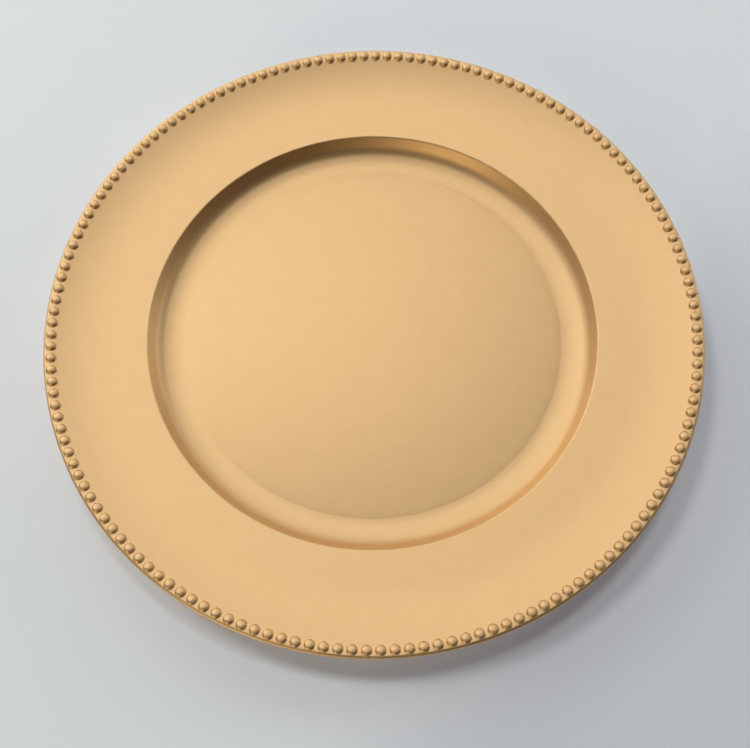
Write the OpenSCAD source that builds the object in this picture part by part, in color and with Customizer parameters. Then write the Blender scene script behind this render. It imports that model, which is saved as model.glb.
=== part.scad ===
// Charger plate: the wide decorative plate that stands under a dinner plate.
// Millimetres, +Z up. The origin is the centre of the foot's standing face.
// Every ring is turned about Z from one shared section, cut at lapped seams,
// so each ring seats on a ledge of its neighbour.

/* [Plate] */
// Diameter over the outer edge
plate_d = 330; // [260:1:400]
// Thickness of the shell, from the floor to the edge
shell_t = 2.4; // [1.9:0.1:3]
// Width of the ledge at each lapped seam
ledge_w = 1.8; // [1.2:0.1:2.2]

/* [Rim] */
// Width of the rim, from the shoulder to the plate's edge
rim_w = 50.2; // [36:0.5:62]
// Rise of the rim from the shoulder up to the bead land
rim_rise = 9.2; // [6:0.1:12]
// Slope of the rim where it leaves the shoulder, in degrees
rim_slope = 7; // [3:0.5:10]
// Radius of the rim's upward bend
rim_bend_r = 145; // [80:5:160]
// Radius that rounds both corners of the outer edge
edge_r = 1; // [0.5:0.1:1.4]

/* [Well] */
// Width of the well's side, from the shoulder in to the floor panel
side_w = 16.7; // [13:0.1:22]
// Depth from the shoulder down to the floor panel's edge
well_depth = 8.4; // [6.5:0.1:10]
// Rise of the floor panel's crown at its centre
crown_h = 0.5; // [0.3:0.1:2]
// Slope that the verge has bent up to where it meets the cove, in degrees
verge_slope = 16.5; // [10:0.5:20]
// Radius of the verge's upward bend, from the floor panel's edge
verge_bend_r = 31; // [15:1:40]
// Slope of the well's wall, in degrees
wall_slope = 54; // [48:1:70]
// Radius of the cove where the verge turns up into the wall
cove_r = 9; // [4:0.2:10]
// Radius of the rounded shoulder
shoulder_r = 1.4; // [0.6:0.1:2]

/* [Beads] */
// Number of beads round the border
bead_count = 158; // [100:1:160]
// Diameter of a bead at its base
bead_d = 5.1; // [4:0.1:5.6]
// Height of a bead above the land
bead_h = 1.5; // [1.2:0.1:2.4]
// Width of the plain lip outside the beads
lip_w = 1.35; // [1:0.05:2]
// Flat land left inside the beads
land_margin = 0.3; // [0.1:0.1:1]

/* [Foot] */
// Height that the foot ring lifts the floor panel's edge
foot_h = 2; // [1.5:0.1:4]
// Width of the foot ring where it stands
foot_w = 3; // [2:0.1:4]
// Distance from the floor panel's edge out to the foot ring
foot_gap = 2; // [1:0.1:3]
// Radius that rounds the foot ring's standing corners
foot_r = 0.6; // [0.2:0.1:0.9]

/* [Hidden] */
$fn = 240;

gold = [0.87, 0.72, 0.50];
arc_steps = 12;
crown_steps = 16;
bead_fn = 48;

// Straight verge left between its outer seam and the start of the cove
seam_setback = 0.5;

// Where the rim bends, as a share of the way from the shoulder to the land
rim_bend_share = 0.61;
// Share of the well's side that the verge's bend may take
verge_room_share = 0.6;
// Most of a straight stretch or thickness that the rounding at one end may take
round_limit_share = 0.48;

plate_r = plate_d / 2;
mouth_r = plate_r - rim_w;
floor_r = mouth_r - side_w;
bead_circle_r = plate_r - lip_w - bead_d / 2;
land_r = bead_circle_r - bead_d / 2 - land_margin;

floor_z = foot_h + shell_t;
mouth_z = floor_z + well_depth;
land_z = mouth_z + rim_rise;
overrun = shell_t;

// The crown is part of a large sphere that meets the floor panel's edge
crown_r = (pow(floor_r, 2) + pow(crown_h, 2)) / (2 * crown_h);
crown_slope = asin(floor_r / crown_r);

// The verge bends up from level at the floor panel's edge
verge_round = rounding(verge_bend_r, verge_slope, verge_room_share * side_w);
verge_at = floor_r + verge_round * tan(verge_slope / 2);

// The verge's line and the wall's line cross at the cove's corner
cove_at = verge_at + (mouth_r - verge_at - well_depth / tan(wall_slope))
    / (1 - tan(verge_slope) / tan(wall_slope));
cove_z = floor_z + (cove_at - verge_at) * tan(verge_slope);

// The rim's inner cone and outer cone cross at the bend's corner
rim_bend_at = mouth_r + rim_bend_share * (land_r - mouth_r);
rim_bend_z = mouth_z + (rim_bend_at - mouth_r) * tan(rim_slope);
rim_outer_slope = atan((land_z - rim_bend_z) / (land_r - rim_bend_at));

verge_corner = [verge_at, floor_z];
cove_corner = [cove_at, cove_z];
mouth_corner = [mouth_r, mouth_z];
bend_corner = [rim_bend_at, rim_bend_z];
land_corner = [land_r, land_z];
edge_top = [plate_r, land_z];
edge_under = [plate_r, land_z - shell_t];

// Each rounding, held inside the straight stretches beside it
cove_round = rounding(cove_r, wall_slope - verge_slope,
    min(norm(mouth_corner - cove_corner),
        2 * (norm(cove_corner - verge_corner) + floor_r - verge_at)));
shoulder_round = rounding(shoulder_r, wall_slope - rim_slope, norm(mouth_corner - cove_corner));
bend_round = rounding(rim_bend_r, rim_outer_slope - rim_slope,
    2 * min(rim_bend_at - mouth_r, land_r - rim_bend_at));
edge_round = min(edge_r, round_limit_share * shell_t);
foot_round = min(foot_r, round_limit_share * foot_w);

// Seams, each placed by the radius where it shows on top
verge_seam_r = cove_at - seam_setback
    - cove_round * tan((wall_slope - verge_slope) / 2) * cos(verge_slope);
verge_seam_z = floor_z + (verge_seam_r - verge_at) * tan(verge_slope);
shoulder_seam_r = mouth_r + shell_t;
shoulder_seam_z = mouth_z + shell_t * tan(rim_slope);

// The radius asked for at a corner, or the largest that the stretch leaves room for
function rounding(r, turn, stretch) = min(r, round_limit_share * stretch / tan(turn / 2));

function reversed(list) = [for (i = [len(list) - 1:-1:0]) list[i]];

// Points round a corner of the section. The outline comes in along slope
// from_a and leaves along slope to_a, and the corner is rounded to radius r.
function corner(at, from_a, to_a, r, steps = arc_steps) =
    let (
        side = sign(to_a - from_a),
        start = at - r * tan(abs(to_a - from_a) / 2) * [cos(from_a), sin(from_a)],
        centre = start + side * r * [-sin(from_a), cos(from_a)]
    )
    [for (i = [0:steps])
        let (a = from_a + (to_a - from_a) * i / steps)
        centre + side * r * [sin(a), -cos(a)]];

// The same corner on the underside, one shell thickness below the top
function under(at, from_a, to_a) =
    at + shell_t * [sin(from_a) + sin(to_a), -cos(from_a) - cos(to_a)]
        / (1 + cos(to_a - from_a));

// The crown's arc from the axis out to the floor panel's edge
function crown(r) =
    [for (i = [0:crown_steps - 1])
        let (a = crown_slope * i / crown_steps)
        [r * sin(a), floor_z + crown_h - crown_r + r * cos(a)]];

// Outline of the top face, from the axis to the outer edge
top_outline = concat(
    crown(crown_r),
    corner(verge_corner, 0, verge_slope, verge_round),
    corner(cove_corner, verge_slope, wall_slope, cove_round),
    corner(mouth_corner, wall_slope, rim_slope, shoulder_round),
    corner(bend_corner, rim_slope, rim_outer_slope, bend_round, 2 * arc_steps),
    [land_corner],
    corner(edge_top, 0, -90, edge_round)
);

// Outline of the underside, also from the axis to the outer edge
under_outline = concat(
    crown(crown_r - shell_t),
    corner(under(verge_corner, 0, verge_slope), 0, verge_slope, verge_round + shell_t),
    corner(under(cove_corner, verge_slope, wall_slope), verge_slope, wall_slope,
        cove_round + shell_t),
    [under(mouth_corner, wall_slope, rim_slope)],
    corner(under(bend_corner, rim_slope, rim_outer_slope), rim_slope, rim_outer_slope,
        bend_round + shell_t, 2 * arc_steps),
    [under(land_corner, rim_outer_slope, 0)],
    reversed(corner(edge_under, -90, -180, edge_round))
);

// Half section of the whole shell
module shell_section() {
    polygon(concat(top_outline, reversed(under_outline)));
}

// A lapped seam: down at radius r, across the ledge at height z, and down
function seam(r, z, lap) = [
    [r, land_z + overrun],
    [r, z],
    [r + lap, z],
    [r + lap, -overrun]
];

axis_line = seam(0, 0, 0);
floor_seam = seam(floor_r, floor_z - shell_t / 2, -ledge_w);
verge_seam = seam(verge_seam_r, verge_seam_z - shell_t / 2, ledge_w);
shoulder_seam = seam(shoulder_seam_r, shoulder_seam_z - shell_t / 2, ledge_w);
bead_seam = seam(bead_circle_r, land_z - shell_t / 2, ledge_w);
outside_line = seam(plate_r + overrun, 0, 0);

// One ring of the shell, between an inner and an outer seam
module shell_ring(inner, outer) {
    color(gold)
    rotate_extrude()
    intersection() {
        shell_section();
        polygon(concat(inner, reversed(outer)));
    }
}

// Crowned disc that a dinner plate stands on
module floor_panel() {
    shell_ring(axis_line, floor_seam);
}

// Ring round the floor panel that bends gently up to the start of the cove
module well_verge() {
    shell_ring(floor_seam, verge_seam);
}

// Cove, wall and rounded shoulder of the well
module well_wall() {
    shell_ring(verge_seam, shoulder_seam);
}

// Broad rim that rises from the shoulder to the bead land
module rim() {
    shell_ring(shoulder_seam, bead_seam);
}

// Outer half of the bead land with the rounded edge
module edge_lip() {
    shell_ring(bead_seam, outside_line);
}

// One bead: a dome on a flat base
module bead() {
    dome_r = (pow(bead_d / 2, 2) + pow(bead_h, 2)) / (2 * bead_h);
    intersection() {
        translate([0, 0, bead_h - dome_r])
        sphere(r = dome_r, $fn = bead_fn);
        cylinder(r = bead_d, h = 2 * bead_h, $fn = bead_fn);
    }
}

// Row of beads that stands on the land, over the seam of rim and lip
module bead_border() {
    color(gold)
    for (i = [0:bead_count - 1])
    rotate([0, 0, i * 360 / bead_count])
    translate([bead_circle_r, 0, land_z])
    bead();
}

// Standing ring under the verge
module foot_ring() {
    inner_r = floor_r + foot_gap;
    outer_r = inner_r + foot_w;
    color(gold)
    rotate_extrude()
    difference() {
        polygon(concat(
            corner([inner_r, 0], -90, 0, foot_round),
            corner([outer_r, 0], 0, 90, foot_round),
            [[outer_r, floor_z], [inner_r, floor_z]]
        ));
        shell_section();
    }
}

floor_panel();
well_verge();
well_wall();
rim();
edge_lip();
bead_border();
foot_ring();
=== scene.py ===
import math

import bpy
from mathutils import Matrix, Vector


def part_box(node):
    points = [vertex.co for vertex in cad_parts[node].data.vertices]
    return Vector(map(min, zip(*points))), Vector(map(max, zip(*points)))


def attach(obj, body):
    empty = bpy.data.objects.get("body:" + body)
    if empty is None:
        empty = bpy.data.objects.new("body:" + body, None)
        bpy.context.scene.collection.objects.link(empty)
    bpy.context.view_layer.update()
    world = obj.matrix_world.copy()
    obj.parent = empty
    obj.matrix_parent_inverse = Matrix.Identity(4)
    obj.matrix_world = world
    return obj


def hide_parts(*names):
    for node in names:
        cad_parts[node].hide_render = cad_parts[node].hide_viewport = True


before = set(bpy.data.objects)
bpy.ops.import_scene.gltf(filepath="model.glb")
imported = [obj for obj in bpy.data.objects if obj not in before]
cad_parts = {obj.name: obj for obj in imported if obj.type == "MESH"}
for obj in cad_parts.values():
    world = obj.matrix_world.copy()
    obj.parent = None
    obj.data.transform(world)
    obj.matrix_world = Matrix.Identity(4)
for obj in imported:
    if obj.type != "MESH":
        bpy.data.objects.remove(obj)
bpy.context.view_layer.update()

MM = 0.001

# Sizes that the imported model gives
plate_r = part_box("edge_lip")[1].x
shell_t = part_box("edge_lip")[1].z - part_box("edge_lip")[0].z
bead_outer_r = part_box("bead_border")[1].x

# Sizes of the plate's section. The rim rises to the inner edge of the land that carries the beads.
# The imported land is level. This one goes on with the rim's slope up to the bead circle, and from
# there with the lip's gentler slope.
floor_z = 4.4 * MM
rim_w = 50.2 * MM
rim_rise = 8.1 * MM
rim_slope = math.radians(7)
rim_bend_share = 0.68
rim_bend_r = 145 * MM
edge_top_r = 1.4 * MM
edge_under_r = 0.6 * MM
side_w = 16.7 * MM
well_depth = 8.4 * MM
crown_h = 0.5 * MM
verge_slope = math.radians(16.5)
verge_bend_r = 31 * MM
wall_slope = math.radians(54)
cove_r = 9 * MM
shoulder_r = 1.4 * MM
verge_setback = 0.5 * MM
lip_slope = math.radians(6)
land_margin = 0.3 * MM
bead_count = 158
bead_d = 5.1 * MM
bead_h = 1.25 * MM
bead_crown_slope = math.radians(24)
bead_side_slope = math.radians(55)

# Small forms that only the finish shows: the fine line round the floor panel, and roundings
line_w = 0.8 * MM
line_depth = 0.02 * MM
land_crease_r = 20 * MM
bead_crown_round_r = 0.9 * MM
bead_fillet_r = 0.45 * MM
bead_sink = 0.25 * MM

# How finely the surfaces are divided
turns = 2 * bead_count
arc_step = math.radians(1.5)
least_arc_steps = 4
crown_steps = 24
bead_turns = 24
bead_steps = 9

# Edges over these angles stay sharp
shell_sharp_angle = math.radians(40)
bead_sharp_angle = math.radians(60)

# Sizes that follow
mouth_r = plate_r - rim_w
floor_r = mouth_r - side_w
bead_circle_r = bead_outer_r - bead_d / 2
land_r = bead_circle_r - bead_d / 2 - land_margin
mouth_z = floor_z + well_depth
land_z = mouth_z + rim_rise
crown_r = (floor_r ** 2 + crown_h ** 2) / (2 * crown_h)
crown_slope = math.asin(floor_r / crown_r)
verge_at = floor_r + verge_bend_r * math.tan(verge_slope / 2)
cove_at = verge_at + (mouth_r - verge_at - well_depth / math.tan(wall_slope)) / (
    1 - math.tan(verge_slope) / math.tan(wall_slope))
cove_z = floor_z + (cove_at - verge_at) * math.tan(verge_slope)
rim_bend_at = mouth_r + rim_bend_share * (land_r - mouth_r)
rim_bend_z = mouth_z + (rim_bend_at - mouth_r) * math.tan(rim_slope)
rim_outer_slope = math.atan((land_z - rim_bend_z) / (land_r - rim_bend_at))
crease_z = land_z + (bead_circle_r - land_r) * math.tan(rim_outer_slope)
lip_z = crease_z + (plate_r - bead_circle_r) * math.tan(lip_slope)
bead_slope = (rim_outer_slope + lip_slope) / 2
bead_z = crease_z - land_crease_r * (1 / math.cos((rim_outer_slope - lip_slope) / 2) - 1)
verge_seam_r = cove_at - verge_setback - (
    cove_r * math.tan((wall_slope - verge_slope) / 2) * math.cos(verge_slope))
shoulder_seam_r = mouth_r + shell_t


# The plate's section

def corner(at, from_a, to_a, radius):
    """Points (r, z) round a corner of the section, from slope from_a to slope to_a."""
    side = math.copysign(1, to_a - from_a)
    back = radius * math.tan(abs(to_a - from_a) / 2)
    start = (at[0] - back * math.cos(from_a), at[1] - back * math.sin(from_a))
    centre = (start[0] - side * radius * math.sin(from_a), start[1] + side * radius * math.cos(from_a))
    steps = max(least_arc_steps, round(abs(to_a - from_a) / arc_step))
    points = []
    for i in range(steps + 1):
        a = from_a + (to_a - from_a) * i / steps
        points.append((centre[0] + side * radius * math.sin(a), centre[1] - side * radius * math.cos(a)))
    return points


def under(at, from_a, to_a):
    """The same corner one shell thickness below the top."""
    reach = shell_t / (1 + math.cos(to_a - from_a))
    across = reach * (math.sin(from_a) + math.sin(to_a))
    down = reach * (math.cos(from_a) + math.cos(to_a))
    return (at[0] + across, at[1] - down)


def crown(radius):
    """The floor panel's arc, from the axis out to just inside its edge."""
    points = []
    for i in range(crown_steps):
        a = crown_slope * i / crown_steps
        points.append((radius * math.sin(a), floor_z + crown_h - crown_r + radius * math.cos(a)))
    return points


def top_outline():
    """Top face of the section, from the axis to the outer edge."""
    points = crown(crown_r)
    # The fine line takes the place of the point where the verge starts to bend
    points.append((floor_r - line_w / 2, floor_z))
    points.append((floor_r, floor_z - line_depth))
    points.append((floor_r + line_w / 2, floor_z))
    points += corner((verge_at, floor_z), 0, verge_slope, verge_bend_r)[1:]
    points += corner((cove_at, cove_z), verge_slope, wall_slope, cove_r)
    points += corner((mouth_r, mouth_z), wall_slope, rim_slope, shoulder_r)
    points += corner((rim_bend_at, rim_bend_z), rim_slope, rim_outer_slope, rim_bend_r)
    points += corner((bead_circle_r, crease_z), rim_outer_slope, lip_slope, land_crease_r)
    points += corner((plate_r, lip_z), lip_slope, -math.pi / 2, edge_top_r)
    return points


def under_outline():
    """Underside of the section, also from the axis to the outer edge."""
    points = crown(crown_r - shell_t)
    verge = under((verge_at, floor_z), 0, verge_slope)
    points += corner(verge, 0, verge_slope, verge_bend_r + shell_t)
    cove = under((cove_at, cove_z), verge_slope, wall_slope)
    points += corner(cove, verge_slope, wall_slope, cove_r + shell_t)
    points.append(under((mouth_r, mouth_z), wall_slope, rim_slope))
    bend = under((rim_bend_at, rim_bend_z), rim_slope, rim_outer_slope)
    points += corner(bend, rim_slope, rim_outer_slope, rim_bend_r + shell_t)
    points.append(under((bead_circle_r, crease_z), rim_outer_slope, lip_slope))
    foot_of_edge = (plate_r, lip_z - shell_t / math.cos(lip_slope))
    edge = corner(foot_of_edge, -math.pi / 2, lip_slope - math.pi, edge_under_r)
    return points + edge[::-1]


def stretch(outline, inner_r, outer_r):
    """The part of an outline between two radii, or up to its end where outer_r is None."""
    points = []
    for (r0, z0), (r1, z1) in zip(outline, outline[1:]):
        if r1 <= inner_r or (outer_r is not None and r0 >= outer_r):
            continue
        if not points:
            share = max(0, inner_r - r0) / (r1 - r0)
            points.append((r0 + share * (r1 - r0), z0 + share * (z1 - z0)))
        share = 1 if outer_r is None else min(1, (outer_r - r0) / (r1 - r0))
        points.append((r0 + share * (r1 - r0), z0 + share * (z1 - z0)))
    return points


# Meshes

def mesh_object(name, vertices, faces, sharp_angle):
    """A smooth shaded object, with edges over the angle kept sharp."""
    mesh = bpy.data.meshes.new(name)
    mesh.from_pydata(vertices, [], faces)
    mesh.validate()
    mesh.shade_smooth()
    mesh.set_sharp_from_angle(angle=sharp_angle)
    obj = bpy.data.objects.new(name, mesh)
    bpy.context.scene.collection.objects.link(obj)
    return obj


def lathe(section, count):
    """A closed section turned about Z. One that starts on the axis also ends there."""
    solid = section[0][0] == 0
    ring = section[1:-1] if solid else section
    vertices = []
    for i in range(count):
        a = 2 * math.pi * i / count
        vertices += [(r * math.cos(a), r * math.sin(a), z) for r, z in ring]
    size = len(ring)
    joins = size - 1 if solid else size
    faces = []
    for i in range(count):
        here = i * size
        there = (i + 1) % count * size
        for j in range(joins):
            k = (j + 1) % size
            faces.append((here + j, here + k, there + k, there + j))
    if solid:
        top = len(vertices)
        vertices += [(0, 0, section[0][1]), (0, 0, section[-1][1])]
        for i in range(count):
            here = i * size
            there = (i + 1) % count * size
            faces.append((top, here, there))
            faces.append((top + 1, there + size - 1, here + size - 1))
    return vertices, faces


def shell_ring(name, node, inner_r, outer_r):
    """One ring of the shell, which stands for its node."""
    upper = stretch(top_outline(), inner_r, outer_r)
    lower = stretch(under_outline(), inner_r, outer_r)
    if outer_r is None:
        # The last point of the top is all but in line with the straight side of the edge
        upper = upper[:-1]
    vertices, faces = lathe(upper + lower[::-1], turns)
    obj = mesh_object(name, vertices, faces, shell_sharp_angle)
    dress(obj, node)


def bead_section():
    """Half section of one bead: a low crown, a rounded steep side, and a fillet at its foot."""
    radius = bead_d / 2
    # The dome of the crown meets the straight side at the turn
    side_rise = math.tan(bead_side_slope)
    turn_r = (radius * side_rise - bead_h) / (side_rise - math.tan(bead_crown_slope / 2))
    turn_z = (radius - turn_r) * side_rise
    dome_r = turn_r / math.sin(bead_crown_slope)
    turning = corner((turn_r, turn_z), -bead_crown_slope, -bead_side_slope, bead_crown_round_r)
    dome_a = math.asin(turning[0][0] / dome_r)
    points = []
    for i in range(bead_steps):
        a = dome_a * i / bead_steps
        points.append((dome_r * math.sin(a), bead_h - dome_r + dome_r * math.cos(a)))
    points += turning
    points += corner((radius, 0), -bead_side_slope, 0, bead_fillet_r)
    points.append((points[-1][0], -bead_sink))
    points.append((0, -bead_sink))
    return points


def bead_row():
    """The row of beads, which lean with the land, each sunk a little so that its foot closes."""
    one, one_faces = lathe(bead_section(), bead_turns)
    lean = Matrix.Rotation(-bead_slope, 4, "Y")
    vertices = []
    faces = []
    for i in range(bead_count):
        turn = Matrix.Rotation(2 * math.pi * i / bead_count, 4, "Z")
        place = turn @ Matrix.Translation((bead_circle_r, 0, bead_z)) @ lean
        start = len(vertices)
        vertices += [place @ Vector(v) for v in one]
        faces += [tuple(start + k for k in face) for face in one_faces]
    obj = mesh_object("bead_row", vertices, faces, bead_sharp_angle)
    dress(obj, "bead_border")


# The finish

deep_gold = (0.792, 0.534, 0.265)
pale_gold = (0.808, 0.546, 0.275)
gold_roughness = 0.545
rough_play = 0.02
grain_size = 0.9 * MM
grain_height = 0.006 * MM
grain_detail = 3
cloud_size = 7 * MM
cloud_detail = 2

# Nearly all of a noise pattern lies between these values
noise_low = 0.3
noise_high = 0.7


def noise(nodes, links, place, size, detail):
    """A noise pattern whose spots are about size across."""
    texture = nodes.new("ShaderNodeTexNoise")
    texture.inputs["Scale"].default_value = 1 / size
    texture.inputs["Detail"].default_value = detail
    links.new(place, texture.inputs["Vector"])
    return texture.outputs["Fac"]


def spread(nodes, links, pattern, low, high):
    """Maps the middle of a noise pattern onto the range from low to high."""
    mapped = nodes.new("ShaderNodeMapRange")
    mapped.inputs["From Min"].default_value = noise_low
    mapped.inputs["From Max"].default_value = noise_high
    mapped.inputs["To Min"].default_value = low
    mapped.inputs["To Max"].default_value = high
    links.new(pattern, mapped.inputs["Value"])
    return mapped.outputs["Result"]


def gold_lacquer():
    """Sprayed metallic lacquer: satin, with a fine grain and a faint mottle of colour."""
    material = bpy.data.materials.new("satin_gold")
    material.use_nodes = True
    nodes = material.node_tree.nodes
    links = material.node_tree.links
    shader = nodes["Principled BSDF"]
    place = nodes.new("ShaderNodeTexCoord").outputs["Object"]

    grain = noise(nodes, links, place, grain_size, grain_detail)
    cloud = noise(nodes, links, place, cloud_size, cloud_detail)

    colours = nodes.new("ShaderNodeMix")
    colours.data_type = "RGBA"
    colours.inputs["A"].default_value = (*deep_gold, 1)
    colours.inputs["B"].default_value = (*pale_gold, 1)
    links.new(spread(nodes, links, cloud, 0, 1), colours.inputs["Factor"])
    links.new(colours.outputs["Result"], shader.inputs["Base Color"])

    rough = spread(nodes, links, grain, gold_roughness - rough_play, gold_roughness + rough_play)
    links.new(rough, shader.inputs["Roughness"])

    bump = nodes.new("ShaderNodeBump")
    bump.inputs["Strength"].default_value = 1
    bump.inputs["Distance"].default_value = grain_height
    links.new(grain, bump.inputs["Height"])
    links.new(bump.outputs["Normal"], shader.inputs["Normal"])

    shader.inputs["Metallic"].default_value = 1
    return material


gold = gold_lacquer()


def dress(obj, node):
    """Gives a piece its finish and body, and lets it stand for its node."""
    obj.data.materials.append(gold)
    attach(obj, "root")
    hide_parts(node)


shell_ring("fine_floor_panel", "floor_panel", 0, floor_r)
shell_ring("fine_well_verge", "well_verge", floor_r, verge_seam_r)
shell_ring("fine_well_wall", "well_wall", verge_seam_r, shoulder_seam_r)
shell_ring("fine_rim", "rim", shoulder_seam_r, bead_circle_r)
shell_ring("fine_edge_lip", "edge_lip", bead_circle_r, None)
bead_row()

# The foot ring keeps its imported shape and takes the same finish
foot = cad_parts["foot_ring"]
foot.data.materials.clear()
foot.data.materials.append(gold)


# The floor

floor_half = 3
floor_colour = (0.90, 0.93, 0.93)
floor_roughness = 0.9
floor_specular = 0.2

# The sheet's glow fades to the dim one between these distances out from the middle. This is painted shade:
# the glow turns darker and bluer on the side away from the key lamp, for the light's fall-off and the
# plate's cool shadow there
floor_glow = (0.115, 0.133, 0.159)
painted_shade_glow = (0.005, 0.02, 0.063)
painted_shade_azimuth = math.radians(-35)
painted_shade_from = 80 * MM
painted_shade_to = 180 * MM


def seen(nodes, links):
    """Strength of a glow that only the camera and reflections see."""
    ray = nodes.new("ShaderNodeLightPath").outputs
    either = nodes.new("ShaderNodeMath")
    either.operation = "MAXIMUM"
    links.new(ray["Is Camera Ray"], either.inputs[0])
    links.new(ray["Is Glossy Ray"], either.inputs[1])
    return either.outputs["Value"]


def glow(nodes, links):
    """Colour of the sheet's glow, with painted shade: weaker and bluer towards the side away from the key
    lamp, for the light's fall-off and the cool shadow there.
    """
    towards = nodes.new("ShaderNodeVectorMath")
    towards.operation = "DOT_PRODUCT"
    towards.inputs[1].default_value = (math.cos(painted_shade_azimuth), math.sin(painted_shade_azimuth), 0)
    links.new(nodes.new("ShaderNodeTexCoord").outputs["Object"], towards.inputs[0])
    painted_shade_fading = nodes.new("ShaderNodeMapRange")
    painted_shade_fading.interpolation_type = "SMOOTHSTEP"
    painted_shade_fading.inputs["From Min"].default_value = painted_shade_from
    painted_shade_fading.inputs["From Max"].default_value = painted_shade_to
    links.new(towards.outputs["Value"], painted_shade_fading.inputs["Value"])
    # Painted shade: the mix makes the glow weaker and bluer on the side away from the key lamp
    colours = nodes.new("ShaderNodeMix")
    colours.data_type = "RGBA"
    colours.inputs["A"].default_value = (*floor_glow, 1)
    colours.inputs["B"].default_value = (*painted_shade_glow, 1)
    links.new(painted_shade_fading.outputs["Result"], colours.inputs["Factor"])
    return colours.outputs["Result"]


def floor():
    """A pale sheet that the plate stands on, whose glow carries painted shade on the side away from the key
    lamp.
    """
    corners = [(x * floor_half, y * floor_half, 0) for x, y in ((-1, -1), (1, -1), (1, 1), (-1, 1))]
    mesh = bpy.data.meshes.new("floor")
    mesh.from_pydata(corners, [], [(0, 1, 2, 3)])
    obj = bpy.data.objects.new("floor", mesh)
    bpy.context.scene.collection.objects.link(obj)
    material = bpy.data.materials.new("floor_paper")
    material.use_nodes = True
    nodes = material.node_tree.nodes
    shader = nodes["Principled BSDF"]
    shader.inputs["Base Color"].default_value = (*floor_colour, 1)
    shader.inputs["Roughness"].default_value = floor_roughness
    shader.inputs["Specular IOR Level"].default_value = floor_specular
    links = material.node_tree.links
    links.new(glow(nodes, links), shader.inputs["Emission Color"])
    links.new(seen(nodes, links), shader.inputs["Emission Strength"])
    obj.data.materials.append(material)


floor()


# The lights

# The room's walls fade out at this rise above the horizon, and the lit one is towards the azimuth
wall_top = 0.3
wall_azimuth = math.radians(82)


def lamp(name, azimuth, elevation, distance, size, power, colour=(1, 1, 1)):
    """A soft round lamp that faces the plate. Azimuth 0 is along +X, elevation is above the floor."""
    light = bpy.data.lights.new(name, "AREA")
    light.shape = "DISK"
    light.size = size
    light.energy = power
    light.color = colour
    obj = bpy.data.objects.new(name, light)
    a = math.radians(azimuth)
    e = math.radians(elevation)
    obj.location = distance * Vector((math.cos(a) * math.cos(e), math.sin(a) * math.cos(e), math.sin(e)))
    obj.rotation_euler = obj.location.to_track_quat("Z", "Y").to_euler()
    obj.visible_camera = False
    bpy.context.scene.collection.objects.link(obj)


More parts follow.
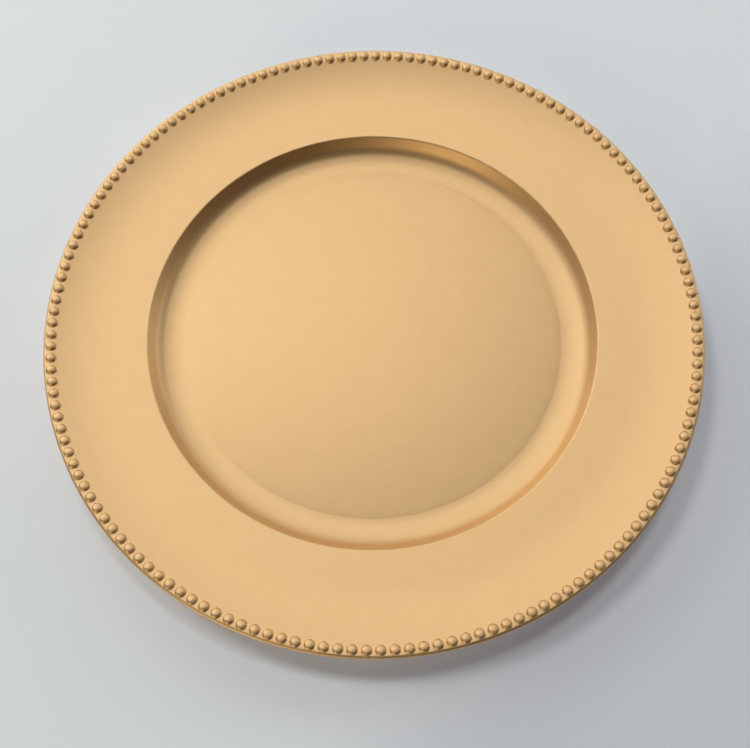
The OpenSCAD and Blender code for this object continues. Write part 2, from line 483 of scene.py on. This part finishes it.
def room(dim_wall, lit_wall, backdrop):
    """Dark overhead, with walls near the horizon, one side lit, and a plain backdrop for the camera."""
    world = bpy.data.worlds.new("room")
    bpy.context.scene.world = world
    world.use_nodes = True
    nodes = world.node_tree.nodes
    links = world.node_tree.links
    look = nodes.new("ShaderNodeTexCoord").outputs["Generated"]

    height = nodes.new("ShaderNodeSeparateXYZ")
    links.new(look, height.inputs[0])
    low = nodes.new("ShaderNodeMapRange")
    low.interpolation_type = "SMOOTHSTEP"
    low.inputs["From Min"].default_value = 0
    low.inputs["From Max"].default_value = wall_top
    low.inputs["To Min"].default_value = 1
    low.inputs["To Max"].default_value = 0
    links.new(height.outputs["Z"], low.inputs["Value"])

    towards = nodes.new("ShaderNodeVectorMath")
    towards.operation = "DOT_PRODUCT"
    towards.inputs[1].default_value = (math.cos(wall_azimuth), math.sin(wall_azimuth), 0)
    links.new(look, towards.inputs[0])
    side = nodes.new("ShaderNodeMapRange")
    side.interpolation_type = "SMOOTHSTEP"
    side.inputs["From Min"].default_value = 0
    side.inputs["From Max"].default_value = 1
    links.new(towards.outputs["Value"], side.inputs["Value"])

    wall = nodes.new("ShaderNodeMix")
    wall.data_type = "RGBA"
    wall.inputs["A"].default_value = (*dim_wall, 1)
    wall.inputs["B"].default_value = (*lit_wall, 1)
    links.new(side.outputs["Result"], wall.inputs["Factor"])
    faded = nodes.new("ShaderNodeMix")
    faded.data_type = "RGBA"
    faded.inputs["A"].default_value = (0, 0, 0, 1)
    links.new(wall.outputs["Result"], faded.inputs["B"])
    links.new(low.outputs["Result"], faded.inputs["Factor"])

    shown = nodes.new("ShaderNodeMix")
    shown.data_type = "RGBA"
    shown.inputs["B"].default_value = (*backdrop, 1)
    links.new(nodes.new("ShaderNodeLightPath").outputs["Is Camera Ray"], shown.inputs["Factor"])
    links.new(faded.outputs["Result"], shown.inputs["A"])
    links.new(shown.outputs["Result"], nodes["Background"].inputs["Color"])
    nodes["Background"].inputs["Strength"].default_value = 1


room(dim_wall=(0.12, 0.045, 0.01), lit_wall=(0.1, 0.1, 0.1), backdrop=(0.6, 0.6, 0.6))
lamp("key", azimuth=141, elevation=55, distance=6, size=1.4, power=62)
lamp("top", azimuth=88, elevation=69, distance=6, size=1.2, power=51)
lamp("back_window", azimuth=73, elevation=32, distance=6, size=6.1, power=82)
lamp("back_low", azimuth=123, elevation=20, distance=2.2, size=1.4, power=10.4)
lamp("left", azimuth=163, elevation=32, distance=1, size=0.3, power=0.75)
lamp("right", azimuth=26, elevation=16, distance=6, size=1.7, power=40)
lamp("front", azimuth=238, elevation=17, distance=6, size=2.6, power=78, colour=(1, 0.84, 0.58))


# The camera, fitted to the plate's rings in the photograph

camera_distance = 0.41356
camera_elevation = math.radians(64.42)
camera_turn = math.radians(0.10)
camera_yaw = math.radians(3.91)
camera_pitch = math.radians(16.70)
camera_roll = math.radians(-4.22)
aim_z = 21.3 * MM
photo_w = 750
photo_h = 748
focal_px = 814.2
axis_px = (356.5, 447.8)
sensor_w = 36

camera_data = bpy.data.cameras.new("camera")
camera_data.sensor_fit = "HORIZONTAL"
camera_data.sensor_width = sensor_w
camera_data.lens = focal_px * sensor_w / photo_w
camera_data.shift_x = (photo_w / 2 - axis_px[0]) / photo_w
camera_data.shift_y = (axis_px[1] - photo_h / 2) / photo_w
camera = bpy.data.objects.new("camera", camera_data)
bpy.context.scene.collection.objects.link(camera)
bpy.context.scene.camera = camera
back = camera_distance * math.cos(camera_elevation)
up = camera_distance * math.sin(camera_elevation)
turned = Matrix.Rotation(camera_turn, 4, "Z")
aimed = (Matrix.Rotation(camera_yaw, 4, "Z") @ Matrix.Rotation(camera_pitch, 4, "X")
         @ Matrix.Rotation(camera_roll, 4, "Z"))
camera.matrix_world = Matrix.Translation((0, 0, aim_z)) @ turned @ Matrix.Translation((0, -back, up)) @ aimed

bpy.context.scene.view_settings.view_transform = "Standard"
